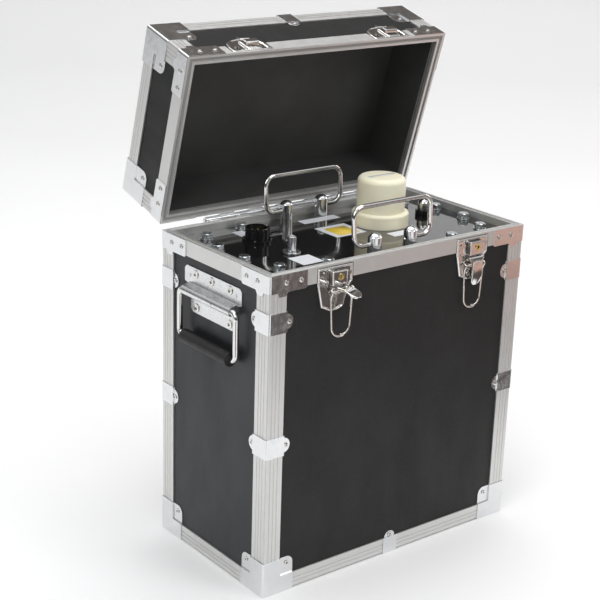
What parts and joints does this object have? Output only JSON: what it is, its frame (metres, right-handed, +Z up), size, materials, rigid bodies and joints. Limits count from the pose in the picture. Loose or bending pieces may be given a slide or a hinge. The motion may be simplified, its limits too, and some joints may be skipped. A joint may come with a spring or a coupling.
{
  "type": "high voltage test unit",
  "caption": "Oil-filled high-voltage unit with an output bushing and folding handles, built into a tall edged flight case with a hinged lid, draw latches and side handles.",
  "frame": {"origin": "on the floor under the middle of the case", "axes": "+Z up, +X to the right along the latch side, +Y to the back where the lid is hinged; the lid is stored standing open"},
  "size_m": [0.429, 0.3486, 0.6413],
  "materials": {
    "board_front": "dark laminate with a fine woven grain",
    "board_side": "satin dark laminate",
    "aluminium": "satin extrusion",
    "zinc_steel": "bright zinc plated pressed steel",
    "screw_steel": "bright zinc plated screw",
    "bolt_zinc": "clear zinc plated bolt",
    "galvanised": "dull zinc plated sheet",
    "latch_chrome": "bright plated",
    "wire_steel": "bright spring wire",
    "brass": "polished brass",
    "gold": "gold plated",
    "handle_chrome": "polished chrome",
    "post_nickel": "turned and polished",
    "grip_rubber": "matt moulded rubber",
    "tank_paint": "grey paint",
    "cover_gloss": "black gloss enamel",
    "nylon": "cast ivory nylon",
    "connector_black": "black gloss",
    "nut_steel": "turned and zinc plated",
    "label_card": "plain white film",
    "core_steel": "varnished laminations",
    "copper_wire": "enamelled copper wire",
    "winding_paper": "oil paper over the winding",
    "lead_rubber": "insulated lead"
  },
  "bodies": {
    "case": {"case_front_back_panels": "board_front", "case_side_panels": "board_side", "case_bottom_panel": "board_side", "case_edge_profiles": "aluminium", "case_rim_profiles": "aluminium", "case_corner_caps": "zinc_steel", "case_rim_brackets": "zinc_steel", "case_edge_clips": "zinc_steel", "case_screws": "screw_steel", "hinge_case_leaf": "zinc_steel", "hinge_pin": "screw_steel", "latch_plates": "latch_chrome", "latch_lock_housings": "latch_chrome", "latch_pivot_pins": "screw_steel", "side_handle_plates": "galvanised", "oil_tank": "tank_paint", "tank_gasket": "grip_rubber", "cover_plate": "cover_gloss", "cover_bolts": "bolt_zinc", "handle_posts": "post_nickel", "output_bushing": "nylon", "output_contact": "brass", "connector_shell": "connector_black", "connector_insert": "connector_black", "connector_pins": "gold", "ground_stud": "brass", "ground_washers": "nut_steel", "filler_collar": "connector_black", "panel_labels": "label_card", "transformer_core": "core_steel", "low_voltage_winding": "copper_wire", "high_voltage_winding": "winding_paper", "high_voltage_lead": "lead_rubber"},
    "lid": {"lid_top_panel": "board_side", "lid_wall_panels": "board_front", "lid_edge_profiles": "aluminium", "lid_rim_profiles": "aluminium", "lid_corner_caps": "zinc_steel", "lid_rim_brackets": "zinc_steel", "lid_edge_clips": "zinc_steel", "lid_screws": "screw_steel", "latch_keepers": "latch_chrome", "hinge_lid_leaf": "zinc_steel"},
    "left_side_handle": {"left_handle_bail": "handle_chrome", "left_handle_grip": "grip_rubber"},
    "right_side_handle": {"right_handle_bail": "handle_chrome", "right_handle_grip": "grip_rubber"},
    "front_handle": {"front_panel_handle": "handle_chrome"},
    "back_handle": {"back_panel_handle": "handle_chrome"},
    "left_lever": {"left_latch_lever": "latch_chrome"},
    "right_lever": {"right_latch_lever": "latch_chrome"},
    "left_bar": {"left_latch_bar": "wire_steel"},
    "right_bar": {"right_latch_bar": "wire_steel"},
    "left_loop": {"left_latch_bail": "wire_steel"},
    "right_loop": {"right_latch_bail": "wire_steel"},
    "left_lock": {"left_lock_barrel": "brass"},
    "right_lock": {"right_lock_barrel": "brass"},
    "bushing_cap": {"output_cap": "nylon"},
    "earth_nut": {"ground_nut": "nut_steel"},
    "oil_plug": {"filler_plug": "handle_chrome"}
  },
  "joints": [
    {"name": "lid_hinge", "type": "hinge", "parent": "case", "child": "lid", "pos_m": [0, 0.1155, 0.4], "axis": [-1, 0, 0], "range_deg": [-74.08, 0]},
    {"name": "left_side_handle_hinge", "type": "hinge", "parent": "case", "child": "left_side_handle", "pos_m": [-0.206, 0, 0.3428], "axis": [0, 1, 0], "range_deg": [0, 90]},
    {"name": "right_side_handle_hinge", "type": "hinge", "parent": "case", "child": "right_side_handle", "pos_m": [0.206, 0, 0.3428], "axis": [0, -1, 0], "range_deg": [0, 90]},
    {"name": "front_handle_hinge", "type": "hinge", "parent": "case", "child": "front_handle", "pos_m": [0, -0.0858, 0.405], "axis": [-1, 0, 0], "range_deg": [0, 97]},
    {"name": "back_handle_hinge", "type": "hinge", "parent": "case", "child": "back_handle", "pos_m": [0, 0.0858, 0.405], "axis": [1, 0, 0], "range_deg": [0, 48.5]},
    {"name": "left_lever_hinge", "type": "hinge", "parent": "case", "child": "left_lever", "pos_m": [-0.1055, -0.114, 0.3713], "axis": [-1, 0, 0], "range_deg": [-88, 20]},
    {"name": "right_lever_hinge", "type": "hinge", "parent": "case", "child": "right_lever", "pos_m": [0.11, -0.114, 0.3713], "axis": [-1, 0, 0], "range_deg": [0, 108]},
    {"name": "left_bar_hinge", "type": "hinge", "parent": "left_lever", "child": "left_bar", "pos_m": [-0.1055, -0.122, 0.37102], "axis": [-1, 0, 0], "range_deg": [-20, 88]},
    {"name": "right_bar_hinge", "type": "hinge", "parent": "right_lever", "child": "right_bar", "pos_m": [0.11, -0.114, 0.3633], "axis": [-1, 0, 0], "range_deg": [-108, 0]},
    {"name": "left_loop_hinge", "type": "hinge", "parent": "left_bar", "child": "left_loop", "pos_m": [-0.1055, -0.122, 0.37102], "axis": [-1, 0, 0], "range_deg": [-4, 165]},
    {"name": "right_loop_hinge", "type": "hinge", "parent": "right_bar", "child": "right_loop", "pos_m": [0.11, -0.114, 0.3633], "axis": [-1, 0, 0], "range_deg": [-4, 140]},
    {"name": "left_lock_turn", "type": "hinge", "parent": "case", "child": "left_lock", "pos_m": [-0.1015, -0.112, 0.385], "axis": [0, -1, 0], "range_deg": [0, 90]},
    {"name": "right_lock_turn", "type": "hinge", "parent": "case", "child": "right_lock", "pos_m": [0.114, -0.112, 0.385], "axis": [0, -1, 0], "range_deg": [0, 90]},
    {"name": "bushing_cap_lift", "type": "slide", "parent": "case", "child": "bushing_cap", "axis": [0, 0, 1], "range_m": [0, 0.06]},
    {"name": "earth_nut_turn", "type": "hinge", "parent": "case", "child": "earth_nut", "pos_m": [-0.1057, -0.0272, 0.4], "axis": [0, 0, 1], "continuous": true},
    {"name": "oil_plug_turn", "type": "hinge", "parent": "case", "child": "oil_plug", "pos_m": [0.1428, 0.017, 0.4], "axis": [0, 0, 1], "continuous": true}
  ],
  "couplings": [
    {"joint": "left_bar_hinge", "follows": "left_lever_hinge", "ratio": -1},
    {"joint": "right_bar_hinge", "follows": "right_lever_hinge", "ratio": -1}
  ]
}
